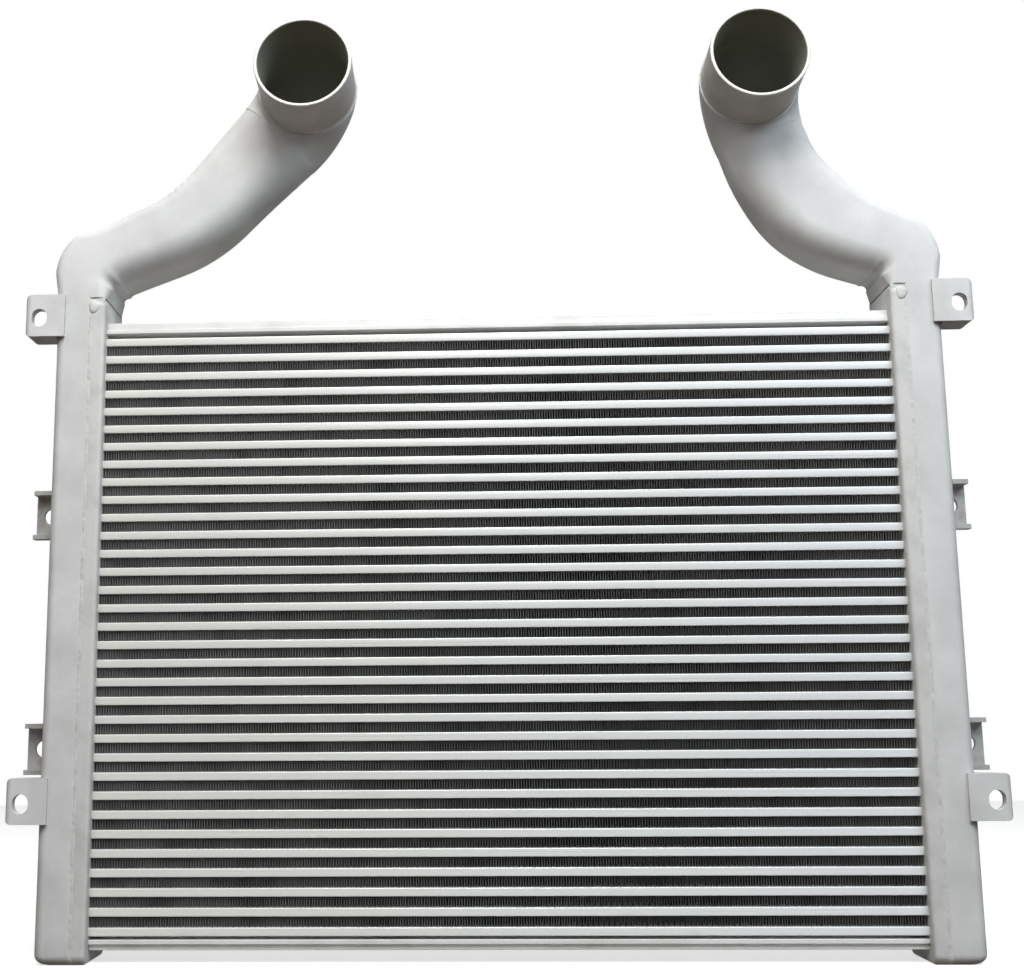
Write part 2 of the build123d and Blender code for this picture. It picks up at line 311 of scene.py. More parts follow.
finLook = {
    "pale": (0.24, 0.24, 0.23),
    "dull": (0.14, 0.14, 0.135),
    "stretch": rolled,
    "patchScale": 22,
    "roughness": (0.7, 0.85),
    "metal": 0.0,
    "gloss": 0.1,
    "bump": 0.05 * mm,
}
plateLook = {
    "pale": (0.70, 0.70, 0.69),
    "dull": (0.60, 0.60, 0.58),
    "stretch": rolled,
    "patchScale": 20,
    "roughness": (0.32, 0.50),
    "metal": 0.10,
    "gloss": 0.3,
    "bump": 0.06 * mm,
}
headerLook = {
    "pale": (0.60, 0.60, 0.59),
    "dull": (0.50, 0.50, 0.49),
    "stretch": plain,
    "patchScale": 30,
    "roughness": (0.38, 0.55),
    "metal": 0.03,
    "gloss": 0.04,
    "bump": 0.10 * mm,
}
bracketLook = {
    "pale": (0.50, 0.50, 0.49),
    "dull": (0.33, 0.32, 0.30),
    "stretch": plain,
    "patchScale": 45,
    "roughness": (0.42, 0.6),
    "metal": 0.03,
    "gloss": 0.04,
    "bump": 0.10 * mm,
}

spigotLook = {
    "pale": (0.56, 0.54, 0.51),
    "dull": (0.44, 0.42, 0.39),
    # inside: painted shade, the bore darker for the shade inside it, and partly its duller surface
    "inside": (0.26, 0.265, 0.225),
    # rim: a painted highlight, the rounded lip at the mouth lighter, most at its crest
    "rim": (0.78, 0.76, 0.71),
    "roughness": (0.36, 0.55),
    "metal": 0.03,
    "gloss": 0.02,
    "clouds": (24, 4, 0.6, 0.38, 0.70),
    "grain": (700, 3, 0.6),
    "bump": 0.08 * mm,
}


def spigotFinish(look):
    finish = Finish("spigotTube")
    clouds = finish.patches(*look["clouds"])
    grain = finish.noise(*look["grain"])
    inside = finish.attribute("inside")
    rim = finish.attribute("rim")
    colour = finish.mix(clouds, look["pale"], look["dull"])
    # the bore takes the inside colour: painted shade
    colour = finish.mix(inside, colour, look["inside"])
    # the rounded lip takes the rim colour: a painted highlight
    colour = finish.mix(rim, colour, look["rim"])
    rough = finish.span(clouds, 0, 1, *look["roughness"])
    finish.surface(
        **{
            "Base Color": colour,
            "Roughness": rough,
            "Metallic": (1 - inside) * look["metal"],
            "Specular IOR Level": look["gloss"],
            "Normal": finish.bump(grain, look["bump"]),
        }
    )
    return finish.material


weldLook = {
    "pale": (0.62, 0.62, 0.60),
    "dull": (0.48, 0.48, 0.465),
    "roughness": (0.34, 0.52),
    "metal": 0.04,
    "gloss": 0.08,
    "clouds": (90, 4, 0.6, 0.40, 0.68),
    "grain": (600, 3, 0.6),
    "bump": 0.12 * mm,
}


def weldFinish(look):
    finish = Finish("weldBead")
    clouds = finish.patches(*look["clouds"])
    grain = finish.noise(*look["grain"])
    finish.surface(
        **{
            "Base Color": finish.mix(clouds, look["pale"], look["dull"]),
            "Roughness": finish.span(clouds, 0, 1, *look["roughness"]),
            "Metallic": look["metal"],
            "Specular IOR Level": look["gloss"],
            "Normal": finish.bump(grain, look["bump"]),
        }
    )
    return finish.material


finishes = {
    "cast": castFinish(castLook),
    "tube": tubeFinish(tubeLook),
    "fin": sheetFinish("finSheet", finLook),
    "plate": sheetFinish("sidePlate", plateLook),
    "header": sheetFinish("headerPlate", headerLook),
    "bracket": sheetFinish("bracketPlate", bracketLook),
    "spigot": spigotFinish(spigotLook),
    "weld": weldFinish(weldLook),
}
print("finishes made")


# ---- mesh helpers

def gridFaces(rows, columns, roundRows=False, roundColumns=False):
    # quads between neighbouring points of a grid, numbered row by row
    i = np.arange(rows if roundRows else rows - 1)[:, None]
    j = np.arange(columns if roundColumns else columns - 1)[None, :]
    i2 = (i + 1) % rows
    j2 = (j + 1) % columns
    quads = np.stack([i * columns + j, i * columns + j2, i2 * columns + j2, i2 * columns + j], axis=-1)
    return quads.reshape(-1, 4)


def showMesh(name, mesh, finish, sharp):
    mesh.polygons.foreach_set("use_smooth", np.ones(len(mesh.polygons), dtype=bool))
    mesh.set_sharp_from_angle(angle=radians(sharp))
    mesh.materials.append(finish)
    piece = bpy.data.objects.new(name, mesh)
    bpy.context.collection.objects.link(piece)
    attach(piece, "root")
    return piece


def makePiece(name, points, faces, finish, attributes=None, sharp=40.0, merge=1e-5):
    mesh = bpy.data.meshes.new(name)
    corners = np.asarray(points, dtype=float).tolist()
    mesh.from_pydata(corners, [], [list(map(int, face)) for face in faces])
    for key, values in (attributes or {}).items():
        layer = mesh.attributes.new(key, "FLOAT", "POINT")
        layer.data.foreach_set("value", np.asarray(values, dtype=np.float32))
    work = bmesh.new()
    work.from_mesh(mesh)
    if merge:
        bmesh.ops.remove_doubles(work, verts=work.verts, dist=merge)
    bmesh.ops.recalc_face_normals(work, faces=work.faces)
    work.to_mesh(mesh)
    work.free()
    return showMesh(name, mesh, finish, sharp)


def smoothThrough(values, steps):
    # Catmull-Rom: a cubic between each two points, its slopes taken from the points beyond
    values = np.asarray(values, dtype=float)
    padded = np.vstack([2 * values[0] - values[1], values, 2 * values[-1] - values[-2]])
    t = np.linspace(0, 1, steps, endpoint=False)[None, :, None]
    p0, p1, p2, p3 = (padded[k : k + len(values) - 1, None, :] for k in range(4))
    curve = 0.5 * (
        2 * p1 + (p2 - p0) * t + (2 * p0 - 5 * p1 + 4 * p2 - p3) * t**2 + (3 * p1 - p0 - 3 * p2 + p3) * t**3
    )
    return np.vstack([curve.reshape(-1, values.shape[1]), values[-1:]])


def unit(vectors):
    return vectors / np.linalg.norm(vectors, axis=-1, keepdims=True)


def roundedSections(middle, across, inward, halfAcross, halfDeep, corners, arc):
    # rounded rectangles: the four corner arcs of each section, one after the other.
    # corners holds the radii outer front, outer rear, inner rear, inner front.
    turn = np.linspace(0, np.pi / 2, arc)
    rows = []
    for k, (signAcross, signDeep) in enumerate(((1, -1), (1, 1), (-1, 1), (-1, -1))):
        radius = np.minimum(corners[:, k], np.minimum(halfAcross, halfDeep))[:, None]
        angle = turn[None, :] + (k - 1) * np.pi / 2
        u = signAcross * (halfAcross[:, None] - radius) + radius * np.cos(angle)
        w = signDeep * (halfDeep[:, None] - radius) + radius * np.sin(angle)
        aside = u[..., None] * across[:, None, :]
        rows.append(middle[:, None, :] + aside + w[..., None] * inward[:, None, :])
    return np.concatenate(rows, axis=1)


def roundAxis(axis, count):
    # angles round an axis, with the outward way at each
    spin = np.linspace(0, 2 * np.pi, count, endpoint=False)
    first = np.array([1.0, 0.0, 0.0])
    second = np.cross(axis, first)
    return spin, np.cos(spin)[:, None] * first + np.sin(spin)[:, None] * second


def travelled(points):
    # how far along a line of points each one lies
    return np.concatenate([[0], np.cumsum(np.linalg.norm(np.diff(points, axis=0), axis=1))])


def ripple(t, seeds):
    # the mean of a few waves, each given by its pace and phase
    return sum(np.sin(t * k + phase) for k, phase in seeds) / len(seeds)


# ---- places taken from the frame

headerBox = {hand: np.array(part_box(f"header_{hand}"), dtype=float) for hand in ("left", "right")}
tankBox = {hand: np.array(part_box(f"tank_{hand}"), dtype=float) for hand in ("left", "right")}
sides = {"left": -1, "right": 1}
frontY, rearY = headerBox["left"][0, 1], headerBox["left"][1, 1]
coreY = (frontY + rearY) / 2
halfTank = (rearY - frontY) / 2
headerFace = headerBox["right"][0, 0]
jointX = headerBox["right"][1, 0]
headerTop = headerBox["right"][1, 2]
tankSide = tankBox["right"][1, 0]
coreZ = (np.array(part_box("tube_01"))[:, 2].mean() + np.array(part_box("tube_33"))[:, 2].mean()) / 2
tubeCount = sum(name.startswith("tube_") for name in frame["nodes"])


def spigotPlace(hand):
    mount = mounts[f"{hand}_spigot"]
    axis = unit(np.array(mount["axis"], dtype=float))
    centre = np.array(mount["pos_m"], dtype=float)
    free = mount["dims"]["length_mm"] * mm
    radius = mount["dims"]["r_mm"] * mm
    mouth = centre + axis * free / 2
    return mouth, axis, free, radius


# ---- cast tanks, each with its duct

tankCast = {
    "wall": 4 * mm,
    "edge": 10 * mm,
    "groove": 2.2 * mm,
    "jointEdge": 0.3 * mm,  # of the hollow at the joint
    "leastEdge": 1 * mm,
    "lapBack": 1.2 * mm,  # the filler over the header's top lies this far behind the face
    "lapOver": 0.5 * mm,  # and reaches this far above that top
    "lapInto": 1 * mm,
    "footDrop": 10 * mm,  # rounding under the outer side
    "footRound": 10 * mm,  # rounding at front and rear
    "neckRise": 38 * mm,  # the duct's middle line goes straight up to here, then turns
    "neckRadius": 26 * mm,
    "kneeInset": 116 * mm,  # the knee, seen from the middle of the neck's foot
    "kneeRise": 86 * mm,
    "kneeRadius": 150 * mm,
    "fan": 60 * mm,  # the sections turn over at least this length, so that none cross
    "startDepth": 80 * mm,  # of the duct where the elbow starts
    "seat": 2 * mm,  # the seat stands this far round the spigot
    "spigotWall": 3.5 * mm,
    "mouthReach": 97 * mm,  # along the axis, from the duct's middle line to the mouth
    "elbowInside": 3 * mm,
    "arc": 11,
    "footRows": 7,
    "panRows": 24,
    "panFirst": 20 * mm,  # from the foot's rounding to the pan's first row
    "ductRows": 90,
    "elbowRows": 26,
    "lineStep": 1 * mm,
    "deepUntil": 0.8,  # share of the duct that keeps the tank's depth
    "seatEase": 1.5,
}

# sections on the way to the elbow: share of the way, height in mm, then the radii in mm of
# the long edges outer front, outer rear, inner rear and inner front
ductSections = {
    "left": [
        (0.00, 51.5, 10, 10, 7, 7),
        (0.15, 68.0, 10, 12, 18, 22),
        (0.22, 63.0, 11, 14, 20, 24),
        (0.44, 69.0, 12, 18, 24, 26),
        (0.62, 76.0, 15, 24, 30, 28),
        (0.80, 84.0, 20, 30, 34, 32),
        (1.00, 97.0, 32, 38, 40, 38),
    ],
    "right": [
        (0.00, 51.5, 10, 10, 7, 7),
        (0.17, 69.0, 10, 12, 18, 22),
        (0.26, 69.0, 11, 14, 20, 24),
        (0.46, 80.0, 12, 18, 24, 26),
        (0.62, 89.0, 15, 24, 30, 28),
        (0.80, 88.0, 20, 30, 34, 32),
        (1.00, 92.0, 32, 38, 40, 38),
    ],
}


def roundedPath(corners, radii, step):
    # straight runs joined by arcs, as even points: an arc of radius r starts
    # r / tan(half the corner's angle) before the corner
    points = [corners[0]]
    for before, corner, after, radius in zip(corners, corners[1:], corners[2:], radii):
        back, on = unit(before - corner), unit(after - corner)
        half = np.arccos(np.dot(back, on)) / 2
        middle = corner + unit(back + on) * radius / np.sin(half)
        start = corner + back * radius / np.tan(half) - middle
        end = corner + on * radius / np.tan(half) - middle
        sweep = np.pi - 2 * half
        share = np.linspace(0, 1, 24)[:, None]
        arc = (np.sin((1 - share) * sweep) * start + np.sin(share * sweep) * end) / np.sin(sweep)
        points.extend(middle + arc)
    points = np.array([*points, corners[-1]])
    gone = travelled(points)
    even = np.linspace(0, gone[-1], int(gone[-1] / step))
    return np.stack([np.interp(even, gone, points[:, k]) for k in range(3)], axis=1)


class Elbow:
    # the bend from the duct's line into the spigot's axis, round a pivot just inside the corner
    def __init__(self, hand):
        side = sides[hand]
        self.mouth, self.axis, self.free, self.radius = spigotPlace(hand)
        self.seatRadius = self.radius + tankCast["seat"]
        neckMid = (headerFace + tankSide) / 2
        self.foot = np.array([side * neckMid, coreY, headerTop])
        self.knee = self.foot + [-side * tankCast["kneeInset"], 0, tankCast["kneeRise"]]
        crown = self.mouth - self.axis * tankCast["mouthReach"]
        self.along = unit(crown - self.knee)
        self.bend = np.arccos(np.dot(self.along, self.axis))
        fromAxis = (tankCast["elbowInside"] + self.seatRadius) / np.sin(self.bend)
        fromDuct = (tankCast["elbowInside"] + tankCast["startDepth"] / 2) / np.sin(self.bend)
        self.pivot = crown - self.along * fromAxis + self.axis * fromDuct
        self.start = crown + self.along * np.dot(self.pivot - crown, self.along)
        self.over = unit(self.axis - self.along * np.dot(self.along, self.axis))


def castSkin(hand, wall):
    # rows of the casting's outside, or with a wall those of its hollow: pan, duct, then elbow
    cast = tankCast
    side = sides[hand]
    elbow = Elbow(hand)
    hollow = wall > 0
    bendAngle = np.linspace(0, np.pi / 2, cast["footRows"])

    # pan: the foot's rounding, then straight up to the neck
    shrink = 1 - np.sin(bendAngle)
    rise = 1 - np.cos(bendAngle)
    footZ = wall + (cast["footRound"] - wall / 2) * rise
    straightZ = np.linspace(footZ[-1] + cast["panFirst"], headerTop + wall, cast["panRows"])
    panZ = np.concatenate([footZ, straightZ])
    shrink = np.concatenate([shrink, np.zeros(cast["panRows"])])
    panOuter = tankSide - wall - (cast["footDrop"] - wall) * shrink
    panInner = np.full(len(panZ), jointX)
    panDeep = halfTank - wall - (cast["footRound"] - wall) * shrink
    edge = max(cast["edge"] - wall, cast["leastEdge"])
    jointEdge = cast["jointEdge"] if hollow else cast["groove"]
    panCorners = np.tile([edge, edge, jointEdge, jointEdge], (len(panZ), 1))
    panMiddle = np.stack([side * (panOuter + panInner) / 2, np.full(len(panZ), coreY), panZ], axis=1)
    panAcross = np.tile([side, 0.0, 0.0], (len(panZ), 1))
    panHalf = (panOuter - panInner) / 2

    # duct: its sections stand square to the middle line, apart from the neck's sharp bend, over
    # which they fan out evenly
    bottom = elbow.foot + [0, 0, wall]
    turning = elbow.foot + [0, 0, cast["neckRise"]]
    bends = (cast["neckRadius"], cast["kneeRadius"])
    line = roundedPath([bottom, turning, elbow.knee, elbow.start], bends, cast["lineStep"])
    heading = np.gradient(line, axis=0)
    angle = np.unwrap(np.arctan2(heading[:, 2], heading[:, 0]))
    reach = int(cast["fan"] / (2 * cast["lineStep"]))
    window = np.full(2 * reach + 1, 1 / (2 * reach + 1))
    spread = np.convolve(np.pad(angle, reach, mode="reflect", reflect_type="odd"), window, "valid")
    keep = np.linspace(0, len(line) - 1, cast["ductRows"]).astype(int)
    share = keep / (len(line) - 1)
    rows = smoothThrough(ductSections[hand], 12)
    height, *radii = (np.interp(share, rows[:, 0], rows[:, k]) * mm for k in range(1, 6))
    lean = np.cos(spread[keep] - angle[keep])
    level = np.zeros(len(keep))
    ductAcross = side * np.stack([np.sin(spread[keep]), level, -np.cos(spread[keep])], axis=1)
    ductMiddle = line[keep]
    ductHalf = (height / 2 - wall) / lean
    depth = np.interp(share, (cast["deepUntil"], 1.0), (2 * halfTank, cast["startDepth"]))
    ductCorners = np.maximum(np.stack(radii, axis=1) - wall, cast["leastEdge"])

    # elbow: sections turned about the pivot, out to the seat's full round
    ease = np.linspace(0, 1, cast["elbowRows"])[1:]
    turn = (elbow.bend * ease)[:, None]
    outwards = elbow.along * np.sin(turn) - elbow.over * np.cos(turn)
    full = cast["startDepth"] + (2 * elbow.seatRadius - cast["startDepth"]) * ease ** cast["seatEase"]
    tall = height[-1] * (1 - ease) + 2 * elbow.seatRadius * ease
    seatWall = elbow.seatRadius - elbow.radius + cast["spigotWall"]
    skin = wall + (seatWall - wall) * ease if hollow else 0 * ease
    elbowMiddle = elbow.pivot + outwards * (cast["elbowInside"] + full / 2)[:, None]
    elbowAcross = np.tile(ductAcross[-1], (len(ease), 1))
    square = (1 - ease[:, None]) ** 2
    endRadii = np.array([values[-1] for values in radii])
    corner = endRadii * square + np.minimum(full, tall)[:, None] / 2 * (1 - square)
    elbowCorners = np.maximum(corner - skin[:, None], cast["leastEdge"])

    backwards = np.tile([0.0, 1.0, 0.0], (len(panZ) + len(keep), 1))
    middle = np.vstack([panMiddle, ductMiddle, elbowMiddle])
    across = np.vstack([panAcross, ductAcross, elbowAcross])
    inward = np.vstack([backwards, outwards])
    halfAcross = np.concatenate([panHalf, ductHalf, tall / 2 - skin])
    halfDeep = np.concatenate([panDeep, depth / 2 - wall, full / 2 - skin])
    corners = np.vstack([panCorners, ductCorners, elbowCorners])
    points = roundedSections(middle, across, inward, halfAcross, halfDeep, corners, cast["arc"])
    return points, len(panZ)


flash = {
    "from": (350 * mm, 454 * mm),  # left of the middle and above the core's mid height
    "to": (315 * mm, 477 * mm),
    "width": 7 * mm,
    "height": 2.2 * mm,
    "waves": 31,
}


def flashRidge(points):
    # a rough bead of flash on the left duct's upper front edge
    a, b = (np.array([-across, high + coreZ]) for across, high in (flash["from"], flash["to"]))
    flat = points[..., [0, 2]]
    t = np.clip(((flat - a) @ (b - a)) / np.dot(b - a, b - a), 0, 1)
    away = np.linalg.norm(flat - (a + t[..., None] * (b - a)), axis=-1)
    nearFront = np.clip((coreY - points[..., 1]) / halfTank, 0, 1) ** 2
    lift = flash["height"] * np.exp(-((away / flash["width"]) ** 2)) * nearFront
    lift = lift * (0.7 + 0.5 * np.sin(t * flash["waves"])) * (np.sin(np.pi * np.clip(t, 0.02, 0.98)) ** 0.3)
    out = unit(np.array([-(b - a)[1], 0, (b - a)[0]]))
    return points + lift[..., None] * out * np.sign(out[2])


def headerLap(side, deepSign):
    # fills the corner between the neck and the header's rounded top, a little behind the face
    back, fill = tankCast["lapBack"], tankCast["edge"]
    up = np.arccos(1 - back / fill)
    arc = np.linspace(up, np.pi / 2, 9)
    deep = np.concatenate([halfTank - fill + fill * np.cos(arc), [halfTank - fill, halfTank - back]])
    high = np.concatenate([fill * np.sin(arc) - fill, [tankCast["lapOver"]] * 2])
    rings = [
        np.stack([np.full(len(deep), side * x), coreY + deepSign * deep, headerTop + high], axis=1)
        for x in (headerFace + tankCast["lapInto"], jointX + tankCast["lapInto"])
    ]
    count = len(deep)
    faces = [*gridFaces(2, count, roundColumns=True), np.arange(count)[::-1], np.arange(count) + count]
    return np.vstack(rings), faces


def makeTank(hand):
    side = sides[hand]
    outside, panRows = castSkin(hand, 0.0)
    inside, _ = castSkin(hand, tankCast["wall"])
    rows, columns = outside.shape[:2]
    if hand == "left":
        outside = flashRidge(outside)
    total = rows * columns
    openColumn = 3 * tankCast["arc"] - 1  # between the two corners at the joint with the header
    quads = gridFaces(rows, columns, roundColumns=True)
    row, column = np.divmod(np.arange(len(quads)), columns)
    kept = quads[~((column == openColumn) & (row < panRows - 1))]
    foot = np.arange(columns)
    faces = [*kept, *(kept[:, ::-1] + total), foot[::-1], foot + total]

    # the mouth's rim, then the joint's two long rims and its two ends
    rim = (rows - 1) * columns + np.stack([foot, (foot + 1) % columns], axis=1)
    faces.extend(np.hstack([rim, rim[:, ::-1] + total]))
    i = np.arange(panRows - 1) * columns
    for lip in (openColumn, openColumn + 1):
        long = np.stack([i + lip, i + columns + lip], axis=1)
        faces.extend(np.hstack([long, long[:, ::-1] + total]))
    for end in (0, (panRows - 1) * columns):
        short = np.array([end + openColumn, end + openColumn + 1])
        faces.append(np.concatenate([short, short[::-1] + total]))

    points = [outside.reshape(-1, 3), inside.reshape(-1, 3)]
    count = 2 * total
    for deepSign in (-1, 1):
        lap, lapFaces = headerLap(side, deepSign)
        points.append(lap)
        faces.extend([np.array(face) + count for face in lapFaces])
        count += len(lap)
    # inside marks the hollow's faces, which the finish darkens as painted shade
    mask = np.zeros(count)
    mask[total : 2 * total] = 1
    piece = makePiece(
        f"castTank{hand.title()}", np.vstack(points), faces, finishes["cast"], {"inside": mask}
    )
    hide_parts(f"tank_{hand}")


for hand in sides:
    makeTank(hand)
print("tanks cast")


# ---- spigots

spigotTube = {
    "wall": 3.5 * mm,
    "lip": 1.2 * mm,
    "around": 96,
    "rows": 12,
    "lipRows": 5,
    "lipStart": 2 * mm,  # the straight run ends this far behind the lip
    "uneven": 0.003,
    "unevenPhase": 0.6,
}


def makeSpigot(hand):
    # a profile of radius and place along the axis, turned round the axis
    tube = spigotTube
    mouth, axis, free, radius = spigotPlace(hand)
    lip, rows, lipRows = tube["lip"], tube["rows"], tube["lipRows"]
    bore = radius - tube["wall"]
    turn = np.linspace(0, np.pi / 2, lipRows)
    run = np.linspace(-free, -lip - tube["lipStart"], rows)
    outerLip = np.stack([radius - lip + lip * np.cos(turn), -lip + lip * np.sin(turn)], axis=1)
    innerLip = np.stack([bore + lip - lip * np.sin(turn), -lip + lip * np.cos(turn)], axis=1)
    outerRun = np.stack([np.full(rows, radius), run], axis=1)
    innerRun = np.stack([np.full(rows, bore), run[::-1]], axis=1)
    profile = np.vstack([outerRun, outerLip, innerLip, innerRun])
    # isInside marks the bore for the painted shade, and isRim the lip for the painted highlight
    isInside = np.concatenate([np.zeros(rows + lipRows), np.linspace(0.2, 1, lipRows), np.ones(rows)])
    isRim = np.concatenate(
        [np.zeros(rows), np.linspace(0.2, 1, lipRows), np.linspace(1, 0.3, lipRows), np.zeros(rows)]
    )
    spin, ring = roundAxis(axis, tube["around"])
    wave = tube["uneven"] * np.sin(2 * spin + tube["unevenPhase"])
    uneven = 1 + wave[:, None, None] * (profile[None, :, 1:] / free + 1)
    reach = profile[None, :, :1] * np.minimum(uneven, 1)
    points = mouth + ring[:, None, :] * reach + axis * profile[None, :, 1:]
    count = len(profile)
    faces = gridFaces(len(spin), count, roundRows=True, roundColumns=True)
    masks = {"inside": np.tile(isInside, len(spin)), "rim": np.tile(isRim, len(spin))}
    points = points.reshape(-1, 3)
    name, finish = f"spigot{hand.title()}", finishes["spigot"]
    piece = makePiece(name, points, faces, finish, masks, sharp=50)
    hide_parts(f"spigot_{hand}")


for hand in sides:
    makeSpigot(hand)
print("spigots turned")


# ---- weld beads

weldBead = {
    "around": 240,
    "profile": 12,
    "width": 4.2 * mm,
    "height": 0.8 * mm,
    "sunk": 0.3,  # share of the height under the spigot's face
    "back": 1.6 * mm,  # from the spigot's foot
    "waves": 58,
}


def makeSpigotWeld(hand):
    # half-round bead carried round the spigot's foot, its height and width in even ripples
    mouth, axis, free, radius = spigotPlace(hand)
    foot = mouth - axis * free
    spin, ring = roundAxis(axis, weldBead["around"])
    wave = 0.85 + 0.15 * np.abs(np.sin(spin * weldBead["waves"] / 2)) + 0.06 * np.sin(5 * spin)
    turn = np.linspace(0, 2 * np.pi, weldBead["profile"], endpoint=False)
    lift = weldBead["height"] * wave[:, None] * np.sin(turn)[None, :]
    run = weldBead["width"] / 2 * np.cos(turn)[None, :] * wave[:, None]
    reach = radius + np.where(lift > 0, lift, lift * weldBead["sunk"])
    points = foot + ring[:, None, :] * reach[..., None] + axis * (run - weldBead["back"])[..., None]
    faces = gridFaces(len(spin), len(turn), roundRows=True, roundColumns=True)
    piece = makePiece(
        f"spigotWeld{hand.title()}", points.reshape(-1, 3), faces, finishes["weld"], sharp=60
    )
    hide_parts(f"spigot_weld_{hand}")


tankBead = {
    "halfWidth": 3.2 * mm,
    "sunk": 2.3 * mm,
    "proud": 0.1 * mm,  # of the faces of header and tank
    "footGap": 0.1 * mm,  # over the foot
    "around": 10,
    "pitch": 8.0 * mm,
    "pitchSway": (0.6, 31 * mm),  # how much and over what length the ripples drift
    "scallop": 0.35 * mm,
    "uneven": 0.25 * mm,
    "shoulder": 0.8 * mm,  # the bead's edges lie this much lower than its crown
    "sway": 0.5 * mm,
    "corner": 9 * mm,
    "topDrop": 10 * mm,
    "step": 1.2 * mm,
}
weldBlob = {
    "radius": 5.8 * mm,
    "height": 1.5 * mm,
    "inwards": 3.5 * mm,  # towards the core from the joint
    "sunk": 1.5 * mm,
    "taller": 1.2,  # its height to its width
    "uneven": 0.08,
    "around": 24,
    "rings": 5,
}


def beadPath(halfDeep, foot, top, corner, step):
    # down the front, round the foot and up the rear: y and z, with the way out at each point
    turn = np.linspace(0, np.pi / 2, 9)
    frontZ = np.arange(top, foot + corner, -step)
    rearZ = frontZ[::-1]
    footY = np.arange(-halfDeep + corner, halfDeep - corner, step)
    front = np.stack([np.full(len(frontZ), -halfDeep), frontZ], axis=1)
    rear = np.stack([np.full(len(rearZ), halfDeep), rearZ], axis=1)
    under = np.stack([footY, np.full(len(footY), foot)], axis=1)
    frontOut = np.stack([-np.cos(turn), -np.sin(turn)], axis=1)
    rearOut = np.stack([np.sin(turn), -np.cos(turn)], axis=1)
    frontBend = np.array([corner - halfDeep, foot + corner]) + corner * frontOut
    rearBend = np.array([halfDeep - corner, foot + corner]) + corner * rearOut
    path = np.vstack([front, frontBend, under, rearBend, rear])
    straight = [
        np.tile(way, (len(run), 1))
        for way, run in (([-1.0, 0.0], front), ([0.0, -1.0], under), ([1.0, 0.0], rear))
    ]
    return path, np.vstack([straight[0], frontOut, straight[1], rearOut, straight[2]])


def weldBlobMesh(side, deepSign):
    # a flat blob where the bead starts on the front or ends on the rear: rings up to a tip
    blob = weldBlob
    centreX = side * (jointX - blob["inwards"])
    centreZ = headerTop - tankBead["topDrop"]
    spin = np.linspace(0, 2 * np.pi, blob["around"], endpoint=False)
    rise = np.linspace(0, np.pi / 2, blob["rings"] + 1)[:-1, None]
    radius = blob["radius"] * np.cos(rise) * (1 + blob["uneven"] * np.sin(3 * spin + 1))[None, :]
    x = centreX + radius * np.cos(spin)[None, :]
    z = centreZ + blob["taller"] * radius * np.sin(spin)[None, :]
    y = coreY + deepSign * (halfTank + blob["height"] * np.sin(rise)) + 0 * x
    base = np.stack([x[:1], y[:1] - deepSign * blob["sunk"], z[:1]], axis=-1)
    rings = np.concatenate([base, np.stack([x, y, z], axis=-1)])
    tip = [[centreX, coreY + deepSign * (halfTank + blob["height"]), centreZ]]
    k = np.arange(len(spin))
    last = (len(rings) - 1) * len(spin)
    cap = np.stack([last + k, last + (k + 1) % len(spin), np.full(len(spin), last + len(spin))], axis=1)
    faces = [*gridFaces(len(rings), len(spin), roundColumns=True), k[::-1], *cap]
    return np.vstack([rings.reshape(-1, 3), tip]), faces


def makeTankWeld(hand):
    side = sides[hand]
    bead = tankBead
    top = headerTop - bead["topDrop"]
    path, out = beadPath(halfTank + bead["proud"], bead["footGap"], top, bead["corner"], bead["step"])
    gone = travelled(path)
    drift, driftLength = bead["pitchSway"]
    scallop = np.abs(np.sin(np.pi * gone / bead["pitch"] + drift * np.sin(gone / driftLength)))
    drop = bead["scallop"] * (1 - scallop**0.6)
    drop = drop + bead["uneven"] * ripple(gone / mm, ((0.11, 0), (0.05, 2), (0.31, 1)))
    turn = np.linspace(0, 2 * np.pi, bead["around"], endpoint=False)
    wide = bead["halfWidth"] * np.cos(turn)
    deep = np.where(np.sin(turn) > 0, 0, bead["sunk"] * np.sin(turn))
    crown = np.where(np.sin(turn) > 0, np.sin(turn), 0)
    height = deep - np.maximum(drop, 0)[:, None] * crown - bead["shoulder"] * (1 - crown)
    sway = bead["sway"] * ripple(gone / mm, ((0.07, 1), (0.19, 3)))
    x = side * (jointX + wide[None, :] + sway[:, None])
    y = coreY + path[:, None, 0] + out[:, None, 0] * height
    z = path[:, None, 1] + out[:, None, 1] * height
    rows, columns = x.shape
    faces = [*gridFaces(rows, columns, roundColumns=True)]
    faces.append(np.arange(columns)[::-1])
    faces.append((rows - 1) * columns + np.arange(columns))
    points = [np.stack([x, y, z], axis=-1).reshape(-1, 3)]
    for deepSign in (-1, 1):
        blob, blobFaces = weldBlobMesh(side, deepSign)
        count = sum(map(len, points))
        points.append(blob)
        faces.extend([face + count for face in blobFaces])
    piece = makePiece(
        f"tankWeld{hand.title()}", np.vstack(points), faces, finishes["weld"], sharp=60
    )
    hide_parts(f"tank_weld_{hand}")


for hand in sides:
    makeSpigotWeld(hand)
    makeTankWeld(hand)
print("welds laid")


# ---- core tubes

coreTube = {
    "wall": 1.2 * mm,
    "nose": 1.1 * mm,  # rounding of the long edges
    "innerNose": 0.5 * mm,
    "clear": 0.01 * mm,  # under the CAD's faces
    "arc": 5,
    "sag": 0.2 * mm,
    "sagPace": 90,
    "rows": 9,
}


